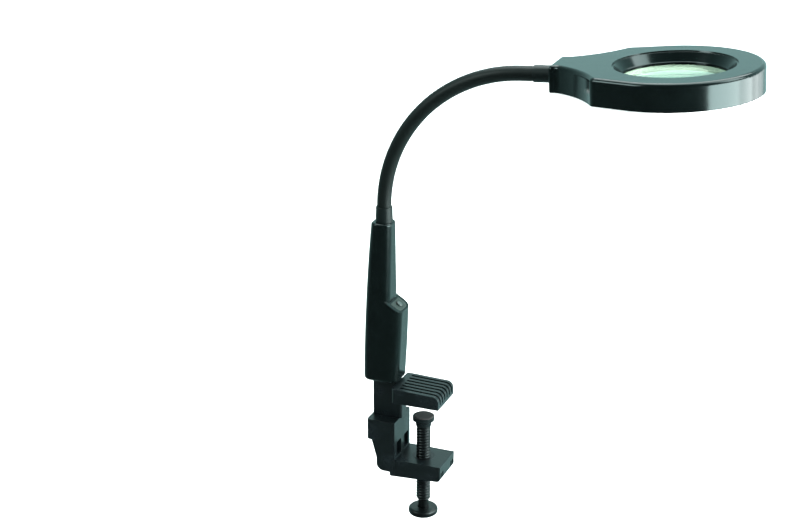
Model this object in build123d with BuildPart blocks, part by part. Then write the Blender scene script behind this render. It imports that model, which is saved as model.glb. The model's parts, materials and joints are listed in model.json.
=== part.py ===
"""Clamp-on magnifying lamp: desk clamp, swivelling handle, gooseneck and ring-light lens head.

Millimetres, +Z up, +X from the handle towards the lens. The origin is on the clamp screw's axis, in the
plane of the rubber pad under the upper jaw, which is where the table top's upper face lies.
"""
import os
from math import acos, atan2, cos, degrees, radians, sin, sqrt, tan

from build123d import *

os.makedirs("parts", exist_ok=True)

# ---------------------------------------------------------------- driving dimensions
RUNNING = 0.05             # radial clearance of every turning or sliding fit
CLEAR = 0.3                # gap between soft or curved parts of different bodies

# desk clamp
BOARD = 17.0               # thickness of table top that the clamp is closed on
JAW_W = 42.0
JAW_TIP = 22.6             # x of the jaw's free end
THROAT = -20.2             # x of the face that the table's edge stops against
JAW_H = 15.0               # height at the throat
JAW_TIP_H = 13.6
JAW_BACK = -25.0           # the wide jaw reaches back on both sides of the column
COLUMN_BACK = -49.9
COLUMN_W = 14.0
PAD_PROUD = 0.3            # how far the rubber stands out of the jaw
RIB_COUNT = 6
RIB_PITCH = 6.2
GROOVE_W = 2.9
GROOVE_D = 1.7
BRACKET_W = 40.0
BRACKET_TOP = -21.4
BRACKET_BACK = -51.0
BRACKET_FRONT = -22.2
BRACKET_FLOOR = -74.0
TONGUE_X = -34.0           # middle of the column's tongue inside the bracket
TONGUE_L = 20.0
TONGUE_W = 10.0
TONGUE_H = 18.0
PAD_SIZE = 36.0
PAD_T = 2.0                # seat of the rubber pad in the jaw
LOWER_JAW_TOP = -60.3
LOWER_JAW_W = 39.0
LOWER_JAW_TIP = 24.4

# clamp screw
SCREW_R = 6.95
SCREW_END = -105.7         # end of the thread
SCREW_NECK_R = 5.5
FLAT_H = 5.0               # flatted end of the screw inside the knob
KNOB_R = 14.4
KNOB_T = 6.8
KNOB_Z = -119.0
FOOT_R = 9.5

# handle
BODY_X = -40.2             # axis of the handle and of its swivel
HANDLE_BOTTOM = 16.2
HANDLE_TOP = 174.5
WALL = 2.2
SPIGOT_R = 4.5
SPIGOT_DEEP = 32.0         # how far the spigot reaches into the clamp
STEP_X = 8.9               # x, from the handle's axis, of the upper part's front face at the step
STEP_LEAN = 0.2            # how far that face leans out at the top
STEP_Z = 97.0
STEP_SLOPE = 32.0          # degrees that the switch face leans down from level

# gooseneck
NECK_R = 6.75              # outside of the sleeve
CORE_R = 5.0
BALL_R = 4.6
BEND_R = 138.0             # radius of the neck's bend
NECK_START = 189.2         # height where the bend starts
HEAD_PITCH = 3.84          # degrees that the head points up
JOINTS = 8
JOINT_GAP = 1.3            # from a joint's centre to the end of each sleeve piece

# lens head, in its own tilted plane
RING_R = 75.0
HEAD_H = 23.6
COVER_H = 3.0              # white cover showing below the housing
NECK_TO_RING = 135.5       # end of the bend to the lens's axis
AXIS_DROP = 11.8           # neck's axis below the head's top face
HEAD_END = -105.0          # x of the neck block's end
BLOCK_HALF = 19.6
BLOCK_L = 8.0              # straight sides of the neck block
FLARE_MID = (-79.3, 31.6)  # point that the flare's concave side passes through
SHOULDER = (-56.2, 60.9)   # corner where the neck's flare meets the ring
OPENING_R = 53.25
LENS_CLEAR_R = 45.7
LENS_R = 49.0
LENS_SURFACE_R = 333.0
FERRULE_R = 7.6

HEAD_TILT = radians(HEAD_PITCH)
STEP_TILT = radians(STEP_SLOPE)
BEND_ANGLE = 90.0 - HEAD_PITCH
JOINT_STEP = BEND_ANGLE / JOINTS


def finish(part, name):
    """Name a finished piece and write it."""
    part.label = name
    export_step(part, f"parts/{name}.step")


def screws(plane, points, head_r, head_h, shank_r, length):
    """Cross-slotted screws: the plane's z axis points out of the heads, its origin is under them."""
    with BuildPart() as result:
        with BuildSketch(plane):
            with Locations(*points):
                Circle(head_r)
        extrude(amount=head_h, taper=12)
        with BuildSketch(plane):
            with Locations(*points):
                Circle(shank_r)
        extrude(amount=-length)
        with BuildSketch(plane.offset(head_h)):
            with Locations(*points):
                Rectangle(head_r * 1.1, head_r * 0.26)
                Rectangle(head_r * 0.26, head_r * 1.1)
        extrude(amount=-head_h * 0.5, mode=Mode.SUBTRACT)
    return result.part


def rods(plane, points, radius, depth):
    """Plain round rods that go down from a plane; subtracted, they are drilled holes."""
    with BuildPart() as result:
        with BuildSketch(plane):
            with Locations(*points):
                Circle(radius)
        extrude(amount=-depth)
    return result.part


# ================================================================ desk clamp (fixed body)
CROSS_HEADS = Plane(origin=(0, BRACKET_W / 2 - 2.6, 0), x_dir=(1, 0, 0), z_dir=(0, 1, 0))
CROSS_POINTS = [(-39.0, 30.4), (-29.0, 30.4)]
CROSS_L = 25.4
CROSS_R = 1.75
JAW_HEADS = Plane(origin=(-34.0, 0, 0), x_dir=(0, 1, 0), z_dir=(-1, 0, 0))
JAW_POINTS = [(-12.0, 66.5), (12.0, 66.5)]
JAW_SCREW_R = 2.0
JAW_SCREW_L = 22.0
SET_SCREW_Z = 5.0
SET_SCREW_R = 1.5
SET_SCREW_SUNK = 0.5
SET_SCREW_BITE = 0.7       # how far it reaches into the spigot's groove
SET_SCREW_L = BODY_X - SPIGOT_R + SET_SCREW_BITE - COLUMN_BACK - SET_SCREW_SUNK
SET_SCREW_BACK = Plane(origin=(COLUMN_BACK, 0, SET_SCREW_Z), x_dir=(0, 1, 0), z_dir=(-1, 0, 0))
JAW_ARC = 6.5              # rounding of the jaw's upper tip
RIB_START = THROAT + 1.5

with BuildPart() as upper_jaw:
    # column and narrow neck that carry the handle
    with BuildSketch(Plane.XY.offset(BRACKET_TOP)):
        with Locations(((COLUMN_BACK + THROAT) / 2, 0)):
            RectangleRounded(THROAT - COLUMN_BACK, COLUMN_W, 2.0)
    extrude(amount=JAW_H - BRACKET_TOP)
    # tongue that goes down into the lower bracket
    with BuildSketch(Plane.XY.offset(BRACKET_TOP)):
        with Locations((TONGUE_X, 0)):
            Rectangle(TONGUE_L, TONGUE_W)
    extrude(amount=-TONGUE_H)
    # wide jaw with a rounded tip
    with BuildSketch(Plane.XZ.offset(-JAW_W / 2)):
        with BuildLine():
            Polyline((JAW_BACK, PAD_PROUD), (JAW_TIP, PAD_PROUD), (JAW_TIP, JAW_TIP_H - JAW_ARC))
            RadiusArc((JAW_TIP, JAW_TIP_H - JAW_ARC), (JAW_TIP - JAW_ARC, JAW_TIP_H), -JAW_ARC)
            Polyline((JAW_TIP - JAW_ARC, JAW_TIP_H), (JAW_BACK, JAW_H), (JAW_BACK, PAD_PROUD))
        make_face()
    extrude(amount=JAW_W)
    jaw_corners = upper_jaw.edges().filter_by(Axis.Z).filter_by(
        lambda e: abs(abs(e.center().Y) - JAW_W / 2) < 0.1 and e.center().X < THROAT)
    fillet(jaw_corners, 3.0)
    # lengthwise grooves over the top and round the tip
    with BuildSketch(Plane.XZ):
        with BuildLine():
            groove_arc = JAW_ARC - GROOVE_D
            Polyline((RIB_START, JAW_H + 2.0), (JAW_TIP + 1.0, JAW_H + 2.0), (JAW_TIP + 1.0, 4.0),
                     (JAW_TIP - GROOVE_D, 4.0), (JAW_TIP - GROOVE_D, JAW_TIP_H - JAW_ARC))
            RadiusArc((JAW_TIP - GROOVE_D, JAW_TIP_H - JAW_ARC),
                      (JAW_TIP - JAW_ARC, JAW_TIP_H - GROOVE_D), -groove_arc)
            Polyline((JAW_TIP - JAW_ARC, JAW_TIP_H - GROOVE_D), (RIB_START, JAW_H - GROOVE_D),
                     (RIB_START, JAW_H + 2.0))
        make_face()
    groove = extrude(amount=GROOVE_W / 2, both=True, mode=Mode.PRIVATE)
    with Locations(*[(0, (i - (RIB_COUNT - 1) / 2) * RIB_PITCH, 0) for i in range(RIB_COUNT)]):
        add(groove, mode=Mode.SUBTRACT)
    # socket for the handle's spigot and seat for the rubber pad
    with BuildSketch(Plane.XY.offset(JAW_H)):
        with Locations((BODY_X, 0)):
            Circle(SPIGOT_R + RUNNING)
    extrude(amount=-SPIGOT_DEEP - 0.5, mode=Mode.SUBTRACT)
    with BuildSketch(Plane.XY.offset(PAD_PROUD)):
        RectangleRounded(PAD_SIZE, PAD_SIZE, 3.0)
    extrude(amount=PAD_T, mode=Mode.SUBTRACT)
    add(rods(SET_SCREW_BACK, [(0, 0)], SET_SCREW_R, SET_SCREW_SUNK + SET_SCREW_L), mode=Mode.SUBTRACT)
    add(rods(CROSS_HEADS, CROSS_POINTS, CROSS_R, CROSS_L), mode=Mode.SUBTRACT)
finish(upper_jaw.part, "upper_jaw")

# grub screw that runs in the spigot's groove, so that the handle turns but can't lift out
with BuildPart() as swivel_grub_screw:
    add(rods(SET_SCREW_BACK.offset(-SET_SCREW_SUNK), [(0, 0)], SET_SCREW_R, SET_SCREW_L))
    with BuildSketch(SET_SCREW_BACK.offset(-SET_SCREW_SUNK)):
        RegularPolygon(0.9, 6)
    extrude(amount=-1.4, mode=Mode.SUBTRACT)
finish(swivel_grub_screw.part, "swivel_grub_screw")

with BuildPart() as jaw_pad:
    with BuildSketch(Plane.XY):
        RectangleRounded(PAD_SIZE, PAD_SIZE, 3.0)
    extrude(amount=PAD_T + PAD_PROUD)
    # shallow grip grooves across the face
    with BuildSketch(Plane.XY):
        with GridLocations(6.0, 0, 6, 1):
            Rectangle(1.0, PAD_SIZE + 1.0)
    extrude(amount=0.6, mode=Mode.SUBTRACT)
finish(jaw_pad.part, "jaw_pad")

POCKET_DEEP = 9.0          # recesses in the bracket's inner face
POCKETS = [(-9.5, -51.5), (9.5, -51.5)]
POCKET_H = 15.0
HEEL_R = 7.5               # rounded lower back corner
HEEL_BACK = BRACKET_BACK + 10.0
with BuildPart() as lower_bracket:
    with BuildSketch(Plane.XZ.offset(-BRACKET_W / 2)):
        with BuildLine():
            Polyline((BRACKET_FRONT, BRACKET_TOP), (BRACKET_BACK, BRACKET_TOP), (BRACKET_BACK, -42.0),
                     (BRACKET_BACK + 5.0, -42.6), (HEEL_BACK, LOWER_JAW_TOP), (HEEL_BACK, BRACKET_FLOOR + HEEL_R))
            RadiusArc((HEEL_BACK, BRACKET_FLOOR + HEEL_R), (HEEL_BACK + HEEL_R, BRACKET_FLOOR), -HEEL_R)
            Polyline((HEEL_BACK + HEEL_R, BRACKET_FLOOR), (BRACKET_FRONT, BRACKET_FLOOR),
                     (BRACKET_FRONT, BRACKET_TOP))
        make_face()
    extrude(amount=BRACKET_W)
    fillet(lower_bracket.edges().filter_by(Axis.Z).filter_by(lambda e: e.center().X < BRACKET_BACK + 1), 2.5)
    # pocket for the column's tongue
    with BuildSketch(Plane.XY.offset(BRACKET_TOP)):
        with Locations((TONGUE_X, 0)):
            Rectangle(TONGUE_L, TONGUE_W)
    extrude(amount=-TONGUE_H, mode=Mode.SUBTRACT)
    # two recesses beside a middle rib, open towards the screw
    with BuildSketch(Plane.YZ.offset(BRACKET_FRONT)):
        with Locations(*POCKETS):
            RectangleRounded(13.0, POCKET_H, 1.5)
    extrude(amount=-POCKET_DEEP, mode=Mode.SUBTRACT)
    # thin upright ribs inside each recess
    with BuildSketch(Plane.YZ.offset(BRACKET_FRONT - POCKET_DEEP)):
        with Locations(*POCKETS):
            Rectangle(2.0, POCKET_H)
    extrude(amount=POCKET_DEEP - 2.0)
    # holes and sunk seats for the cross screws and for the screws into the lower jaw
    add(rods(CROSS_HEADS.offset(3.0), CROSS_POINTS, 3.8, 3.0), mode=Mode.SUBTRACT)
    add(rods(CROSS_HEADS, CROSS_POINTS, CROSS_R, CROSS_L), mode=Mode.SUBTRACT)
    add(rods(JAW_HEADS.offset(8.0), JAW_POINTS, 4.2, 8.0), mode=Mode.SUBTRACT)
    add(rods(JAW_HEADS, JAW_POINTS, JAW_SCREW_R, 12.0), mode=Mode.SUBTRACT)
finish(lower_bracket.part, "lower_bracket")

JAW_FLOOR_BACK = -78.3     # underside of the lower jaw by the bracket and at its tip
JAW_FLOOR_TIP = -75.8
JAW_NOSE = 3.5             # rounding of the lower jaw's tip
LIP_BACK = -27.5           # lip of the lower jaw that hooks under the bracket
LIP_CHAMFER = 1.2
NOSE_X = LOWER_JAW_TIP - JAW_NOSE
NOSE_Z = JAW_FLOOR_TIP + JAW_NOSE
UNDER_START = -12.0        # grooves under the jaw run from here to the tip
UNDER_TOP = -67.0          # and up the tip's face to here
UNDER_ROWS = (-16.0, -11.4, 11.4, 16.0)
BUSH_R = 9.5
BUSH_H = 15.0
FLANGE_R = 11.0
FLANGE_T = 2.0
with BuildPart() as lower_jaw:
    with BuildSketch(Plane.XZ.offset(-LOWER_JAW_W / 2)):
        with BuildLine():
            Polyline((BRACKET_FRONT, LOWER_JAW_TOP), (BRACKET_FRONT, BRACKET_FLOOR), (LIP_BACK, BRACKET_FLOOR),
                     (LIP_BACK, JAW_FLOOR_BACK + LIP_CHAMFER), (LIP_BACK + LIP_CHAMFER, JAW_FLOOR_BACK),
                     (NOSE_X, JAW_FLOOR_TIP))
            RadiusArc((NOSE_X, JAW_FLOOR_TIP), (LOWER_JAW_TIP, NOSE_Z), -JAW_NOSE)
            Polyline((LOWER_JAW_TIP, NOSE_Z), (LOWER_JAW_TIP, LOWER_JAW_TOP), (BRACKET_FRONT, LOWER_JAW_TOP))
        make_face()
    extrude(amount=LOWER_JAW_W)
    # lengthwise grooves under the jaw and up its tip
    with BuildSketch(Plane.XZ):
        with BuildLine():
            Polyline((UNDER_START, JAW_FLOOR_BACK - 1.0), (UNDER_START, JAW_FLOOR_BACK + GROOVE_D + 0.4),
                     (NOSE_X, JAW_FLOOR_TIP + GROOVE_D))
            RadiusArc((NOSE_X, JAW_FLOOR_TIP + GROOVE_D), (LOWER_JAW_TIP - GROOVE_D, NOSE_Z),
                      GROOVE_D - JAW_NOSE)
            Polyline((LOWER_JAW_TIP - GROOVE_D, NOSE_Z), (LOWER_JAW_TIP - GROOVE_D, UNDER_TOP),
                     (LOWER_JAW_TIP + 1.0, UNDER_TOP), (LOWER_JAW_TIP + 1.0, JAW_FLOOR_BACK - 1.0),
                     (UNDER_START, JAW_FLOOR_BACK - 1.0))
        make_face()
    lower_groove = extrude(amount=GROOVE_W / 2, both=True, mode=Mode.PRIVATE)
    with Locations(*[(0, y, 0) for y in UNDER_ROWS]):
        add(lower_groove, mode=Mode.SUBTRACT)
    # seat for the threaded bush and its flange
    add(rods(Plane.XY.offset(LOWER_JAW_TOP), [(0, 0)], BUSH_R, 20.0), mode=Mode.SUBTRACT)
    add(rods(Plane.XY.offset(LOWER_JAW_TOP), [(0, 0)], FLANGE_R, FLANGE_T), mode=Mode.SUBTRACT)
    add(rods(JAW_HEADS, JAW_POINTS, JAW_SCREW_R, JAW_SCREW_L), mode=Mode.SUBTRACT)
finish(lower_jaw.part, "lower_jaw")

with BuildPart() as thread_bush:
    add(rods(Plane.XY.offset(LOWER_JAW_TOP), [(0, 0)], BUSH_R, BUSH_H))
    add(rods(Plane.XY.offset(LOWER_JAW_TOP), [(0, 0)], FLANGE_R, FLANGE_T))
    add(rods(Plane.XY.offset(LOWER_JAW_TOP), [(0, 0)], SCREW_R + RUNNING, BUSH_H), mode=Mode.SUBTRACT)
finish(thread_bush.part, "thread_bush")

finish(screws(CROSS_HEADS, CROSS_POINTS, 3.4, 2.2, CROSS_R, CROSS_L), "bracket_screws")
finish(screws(JAW_HEADS, JAW_POINTS, 3.8, 2.6, JAW_SCREW_R, JAW_SCREW_L), "lower_jaw_screws")

# ================================================================ pressure foot (slides) and clamp screw (turns)
FOOT_TOP = -BOARD
RUBBER_T = 2.2
CUP_H = 8.0
FOOT_BOTTOM = FOOT_TOP - RUBBER_T - CUP_H
TIP_R = 4.0                # reduced end of the screw that turns in the foot
TIP_H = 5.0
COLLAR_R = SCREW_R + 0.6   # foot's collar round the screw
COLLAR_H = 3.5

with BuildPart() as foot_rubber:
    with BuildSketch(Plane.XY.offset(FOOT_TOP - RUBBER_T)):
        Circle(FOOT_R)
    extrude(amount=RUBBER_T)
    fillet(foot_rubber.edges().group_by(Axis.Z)[-1], 0.6)
finish(foot_rubber.part, "foot_rubber")

with BuildPart() as pressure_foot:
    with BuildSketch(Plane.XZ):
        with BuildLine():
            Polyline((0, FOOT_BOTTOM), (COLLAR_R, FOOT_BOTTOM), (COLLAR_R, FOOT_BOTTOM + COLLAR_H),
                     (FOOT_R + 1.0, FOOT_BOTTOM + COLLAR_H + 2.0), (FOOT_R + 1.0, FOOT_TOP - 0.8),
                     (FOOT_R, FOOT_TOP - 0.8), (FOOT_R, FOOT_TOP - RUBBER_T), (0, FOOT_TOP - RUBBER_T),
                     (0, FOOT_BOTTOM))
        make_face()
    revolve(axis=Axis.Z)
    add(rods(Plane.XY.offset(FOOT_BOTTOM + TIP_H + 0.5), [(0, 0)], TIP_R + RUNNING, TIP_H + 0.5),
        mode=Mode.SUBTRACT)
finish(pressure_foot.part, "pressure_foot")

TIP_CHAMFER = 0.6
NECK_BLEND = 1.6
KNOB_TOP = KNOB_Z + KNOB_T / 2
FLAT_HALF = SCREW_NECK_R - 0.9
with BuildPart() as clamp_screw:
    with BuildSketch(Plane.XZ):
        with BuildLine():
            Polyline((0, FOOT_BOTTOM + TIP_H), (TIP_R - TIP_CHAMFER, FOOT_BOTTOM + TIP_H),
                     (TIP_R, FOOT_BOTTOM + TIP_H - TIP_CHAMFER), (TIP_R, FOOT_BOTTOM - 0.1),
                     (SCREW_R, FOOT_BOTTOM - 0.1), (SCREW_R, SCREW_END), (SCREW_NECK_R, SCREW_END - NECK_BLEND),
                     (SCREW_NECK_R, KNOB_TOP - FLAT_H), (0, KNOB_TOP - FLAT_H), (0, FOOT_BOTTOM + TIP_H))
        make_face()
    revolve(axis=Axis.Z)
    # flats that stop the knob from turning on the screw
    with BuildSketch(Plane.XY.offset(KNOB_TOP)):
        Circle(SCREW_NECK_R + 1.0)
        Rectangle(2 * (SCREW_NECK_R + 1.0), 2 * FLAT_HALF, mode=Mode.SUBTRACT)
    extrude(amount=-FLAT_H, mode=Mode.SUBTRACT)
finish(clamp_screw.part, "clamp_screw")

DISH_DEEP = 0.8
KNOB_BOTTOM = KNOB_Z - KNOB_T / 2
with BuildPart() as knob:
    with BuildSketch(Plane.XY.offset(KNOB_BOTTOM)):
        Circle(KNOB_R)
    extrude(amount=KNOB_T)
    fillet(knob.edges().filter_by(GeomType.CIRCLE), 2.6)
    # socket for the screw's flatted end, and a shallow dish underneath
    with BuildSketch(Plane.XY.offset(KNOB_TOP)):
        Circle(SCREW_NECK_R)
        Rectangle(3 * SCREW_NECK_R, 2 * FLAT_HALF, mode=Mode.INTERSECT)
    extrude(amount=-FLAT_H, mode=Mode.SUBTRACT)
    with BuildSketch(Plane.XY.offset(KNOB_BOTTOM)):
        Circle(KNOB_R - 5.0)
    extrude(amount=DISH_DEEP, taper=30, mode=Mode.SUBTRACT)
finish(knob.part, "knob")

with BuildPart() as knob_screw:
    with BuildSketch(Plane.XY.offset(KNOB_BOTTOM)):
        Circle(3.2)
    extrude(amount=DISH_DEEP)
finish(knob_screw.part, "knob_screw")

# ================================================================ handle (swivels in the clamp)
HANDLE_CORNER = 7.5
UPPER_CORNER = 7.0         # front corners of the upper part


def handle_body(inset, front_big):
    """Tapered handle: each row is height, then back, front and half width from the handle's axis."""
    rows = [
        (HANDLE_BOTTOM, 17.5, 17.4, 15.0),
        (40.0, 17.2, 19.0, 14.9),
        (91.0, 15.6, 21.3, 14.2),
        (120.0, 14.4, 22.3, 13.1),
        (HANDLE_TOP, 10.9, 23.6, 11.0),
    ]
    with BuildPart() as result:
        for height, back, big, half in rows:
            front = big if front_big else STEP_X
            with BuildSketch(Plane.XY.offset(height)):
                with Locations((BODY_X + (front - back) / 2, 0)):
                    RectangleRounded(front + back - 2 * inset, 2 * (half - inset), HANDLE_CORNER - inset)
        loft()
    return result.part


def step_wedge(drop, back):
    """Everything in front of the upper part and above the switch face, moved down and back."""
    reach = 30.0
    foot_x = BODY_X + STEP_X - back
    foot_z = STEP_Z - drop + back * tan(STEP_TILT)
    with BuildPart() as result:
        with BuildSketch(Plane.XZ.offset(-reach)):
            with BuildLine():
                Polyline((foot_x, foot_z), (foot_x + reach, foot_z - reach * tan(STEP_TILT)),
                         (foot_x + reach, HANDLE_TOP + 5), (foot_x + STEP_LEAN, HANDLE_TOP + 5),
                         (foot_x, foot_z))
            make_face()
        extrude(amount=2 * reach)
    return result.part


FERRULE_LOW = 168.0
FLOOR_T = 3.0              # handle's floor round the spigot and roof round the ferrule
ROOF_T = 8.0
SPIGOT_TOP = HANDLE_BOTTOM + 7.0
FACE_MID = 7.0             # from the step's root to the middle of the switch panel, along the slope
SWITCH = Plane(origin=(BODY_X + STEP_X + FACE_MID * cos(STEP_TILT), 0, STEP_Z - FACE_MID * sin(STEP_TILT)),
               x_dir=(cos(STEP_TILT), 0, -sin(STEP_TILT)), z_dir=(sin(STEP_TILT), 0, cos(STEP_TILT)))
PANEL_L = 11.6
PANEL_W = 20.0
PANEL_NOSE = 5.5           # rounding of the panel's outer corners
PANEL_T = 1.2
SOCKET_L = 8.0
SOCKET_W = 12.0
SOCKET_R = 3.0
PANEL_SUNK = 0.9
BUTTON_R = 3.0
BUTTON_PROUD = 1.5
BUTTON_TRAVEL = 1.0
DOOR_LOW = 26.0
DOOR_HIGH = 82.0
DOOR_HALF = 9.0
DOOR_GAP = 0.15
HOLDER_LOW = 23.5
HOLDER_HIGH = 80.0
CELL_R = 5.25
CELL_LOW = 29.0
CELL_L = 44.5
CELLS = [(-6.3, -5.8), (-6.3, 5.8), (3.9, 0.0)]

def panel_outline():
    """Plan of the switch panel: straight by the upper part, rounded at its outer end."""
    with BuildSketch() as result:
        Rectangle(PANEL_L, PANEL_W)
        fillet(result.vertices().group_by(Axis.X)[-1], PANEL_NOSE)
        fillet(result.vertices().group_by(Axis.X)[0], 1.0)
    return result.sketch


# outer form: a swelling battery section below, a slim section above, the switch face between them
with BuildPart() as handle_form:
    add(handle_body(0, True))
    add(step_wedge(0, 0), mode=Mode.SUBTRACT)
    upright = handle_form.edges().filter_by(
        lambda e: e.length > 60 and e.center().X > BODY_X + STEP_X - 1 and e.center().Z > STEP_Z)
    fillet(upright, UPPER_CORNER)
    fillet(handle_form.edges().group_by(Axis.Z)[-1], 2.0)
    fillet(handle_form.edges().group_by(Axis.Z)[0], 3.8)

with BuildPart() as handle_cavity:
    add(handle_body(WALL + 0.2, True))
    add(step_wedge(WALL + 0.8, UPPER_CORNER), mode=Mode.SUBTRACT)
    add(handle_body(WALL, False))
    split(bisect_by=Plane.XY.offset(HANDLE_BOTTOM + FLOOR_T), keep=Keep.TOP)
    split(bisect_by=Plane.XY.offset(HANDLE_TOP - ROOF_T), keep=Keep.BOTTOM)

with BuildPart() as handle_shell:
    add(handle_form.part)
    add(handle_cavity.part, mode=Mode.SUBTRACT)
    # holes for the gooseneck's ferrule and the swivel's spigot
    add(rods(Plane.XY.offset(HANDLE_TOP + 1), [(BODY_X, 0)], FERRULE_R, ROOF_T + 1.5), mode=Mode.SUBTRACT)
    add(rods(Plane.XY.offset(HANDLE_BOTTOM + 5), [(BODY_X, 0)], SPIGOT_R, 10.0), mode=Mode.SUBTRACT)
    # seat and opening for the switch
    with BuildSketch(SWITCH):
        add(panel_outline())
    extrude(amount=-PANEL_SUNK, mode=Mode.SUBTRACT)
    with BuildSketch(SWITCH):
        RectangleRounded(SOCKET_L, SOCKET_W, SOCKET_R)
    extrude(amount=-6.0, mode=Mode.SUBTRACT)


def back_block(gap):
    """Block that takes the battery door out of the handle's back wall."""
    with BuildPart() as result:
        with BuildSketch(Plane.YZ.offset(BODY_X - 8.0)):
            with Locations((0, (DOOR_LOW + DOOR_HIGH) / 2)):
                RectangleRounded(2 * (DOOR_HALF - gap), DOOR_HIGH - DOOR_LOW - 2 * gap, 2.0 - gap)
        extrude(amount=-15.0)
    return result.part


DOOR_SCREW = Plane(origin=(BODY_X - 15.0, 0, DOOR_HIGH - 7.0), x_dir=(0, 1, 0), z_dir=(-1, 0, 0))

with BuildPart() as battery_door:
    add(handle_shell.part)
    add(back_block(DOOR_GAP), mode=Mode.INTERSECT)
    # finger ridges and the screw's hole
    for i in range(5):
        with BuildSketch(Plane.YZ.offset(BODY_X - 18.5)):
            with Locations((0, DOOR_LOW + 6.0 + 2.4 * i)):
                SlotOverall(10.0, 1.1)
        extrude(amount=2.2, mode=Mode.SUBTRACT)
    add(rods(DOOR_SCREW.offset(4.0), [(0, 0)], 2.4, 4.0), mode=Mode.SUBTRACT)
    add(rods(DOOR_SCREW, [(0, 0)], 1.0, 6.0), mode=Mode.SUBTRACT)
finish(battery_door.part, "battery_door")

with BuildPart() as handle_front:
    add(handle_shell.part)
    add(back_block(0), mode=Mode.SUBTRACT)
    split(bisect_by=Plane.XZ, keep=Keep.TOP)
finish(handle_front.part, "handle_front")

with BuildPart() as handle_rear:
    add(handle_shell.part)
    add(back_block(0), mode=Mode.SUBTRACT)
    split(bisect_by=Plane.XZ, keep=Keep.BOTTOM)
finish(handle_rear.part, "handle_rear")

with BuildPart() as battery_holder:
    with BuildSketch(Plane.XY.offset(HOLDER_LOW)):
        with Locations((BODY_X - 0.9, 0)):
            RectangleRounded(23.4, 22.6, 3.0)
    extrude(amount=HOLDER_HIGH - HOLDER_LOW)
    with BuildSketch(Plane.XY.offset(CELL_LOW - 1.5)):
        with Locations(*[(BODY_X + x, y) for x, y in CELLS]):
            Circle(CELL_R + 0.1)
    extrude(amount=CELL_L + 3.0, mode=Mode.SUBTRACT)
    add(rods(DOOR_SCREW, [(0, 0)], 1.0, 9.0), mode=Mode.SUBTRACT)
finish(battery_holder.part, "battery_holder")

finish(screws(DOOR_SCREW, [(0, 0)], 2.2, 1.2, 1.0, 9.0), "door_screw")

with BuildPart() as batteries:
    with BuildSketch(Plane.XY.offset(CELL_LOW)):
        with Locations(*[(BODY_X + x, y) for x, y in CELLS]):
            Circle(CELL_R)
    extrude(amount=CELL_L - 1.0)
    with BuildSketch(Plane.XY.offset(CELL_LOW + CELL_L - 1.0)):
        with Locations(*[(BODY_X + x, y) for x, y in CELLS]):
            Circle(1.9)
    extrude(amount=1.0)
finish(batteries.part, "batteries")

with BuildPart() as battery_contacts:
    for low in (CELL_LOW - 1.5, CELL_LOW + CELL_L):
        with BuildSketch(Plane.XY.offset(low)):
            with Locations(*[(BODY_X + x, y) for x, y in CELLS]):
                Circle(3.4)
        extrude(amount=1.5)
finish(battery_contacts.part, "battery_contacts")

with BuildPart() as swivel_spigot:
    add(rods(Plane.XY.offset(SPIGOT_TOP), [(BODY_X, 0)], SPIGOT_R, SPIGOT_TOP - JAW_H + SPIGOT_DEEP))
    add(rods(Plane.XY.offset(SPIGOT_TOP), [(BODY_X, 0)], 9.0, SPIGOT_TOP - HANDLE_BOTTOM - 3.0))
    # groove for the grub screw, and a rounded lower end
    with BuildSketch(Plane.XY.offset(SET_SCREW_Z - 1.7)):
        with Locations((BODY_X, 0)):
            Circle(SPIGOT_R + 1)
            Circle(SPIGOT_R - 0.9, mode=Mode.SUBTRACT)
    extrude(amount=3.4, mode=Mode.SUBTRACT)
    chamfer(swivel_spigot.edges().group_by(Axis.Z)[0], 0.8)
finish(swivel_spigot.part, "swivel_spigot")

with BuildPart() as swivel_washer:
    with BuildSketch(Plane.XY.offset(JAW_H + RUNNING)):
        with Locations((BODY_X, 0)):
            Circle(COLUMN_W / 2 - 0.2)
            Circle(SPIGOT_R, mode=Mode.SUBTRACT)
    extrude(amount=HANDLE_BOTTOM - JAW_H - RUNNING)
finish(swivel_washer.part, "swivel_washer")

with BuildPart() as switch_panel:
    with BuildSketch(SWITCH.offset(-PANEL_SUNK)):
        add(panel_outline())
        Circle(BUTTON_R + CLEAR, mode=Mode.SUBTRACT)
    extrude(amount=PANEL_T)
    chamfer(switch_panel.edges().group_by(lambda e: round(SWITCH.to_local_coords(e.center()).Z, 2))[-1], 0.25)
finish(switch_panel.part, "switch_panel")

with BuildPart() as switch_body:
    with BuildSketch(SWITCH.offset(-PANEL_SUNK)):
        RectangleRounded(SOCKET_L - 0.1, SOCKET_W - 0.1, SOCKET_R - 0.05)
        Circle(BUTTON_R + CLEAR, mode=Mode.SUBTRACT)
    extrude(amount=-4.5)
    with BuildSketch(SWITCH.offset(-PANEL_SUNK - 4.5)):
        RectangleRounded(SOCKET_L - 0.1, SOCKET_W - 0.1, SOCKET_R - 0.05)
    extrude(amount=-1.5)
finish(switch_body.part, "switch_body")

with BuildPart() as switch_button:
    with BuildSketch(SWITCH.offset(BUTTON_PROUD + PANEL_T - PANEL_SUNK)):
        Circle(BUTTON_R)
    extrude(amount=-(BUTTON_PROUD + PANEL_T + 2.8))
    fillet(switch_button.edges().group_by(lambda e: round(SWITCH.to_local_coords(e.center()).Z, 2))[-1], 0.9)
finish(switch_button.part, "switch_button")

with BuildPart() as driver_board:
    with BuildSketch(Plane.YZ.offset(BODY_X - 0.8)):
        with Locations((0, 112.0)):
            Rectangle(14.0, 34.0)
    extrude(amount=1.6)
    with BuildSketch(Plane.YZ.offset(BODY_X + 0.8)):
        with Locations((0, 104.0)):
            Rectangle(7.0, 9.0)
        with Locations((-3.0, 120.0), (3.5, 118.0)):
            Rectangle(4.0, 5.0)
    extrude(amount=1.8)
finish(driver_board.part, "driver_board")

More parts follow.
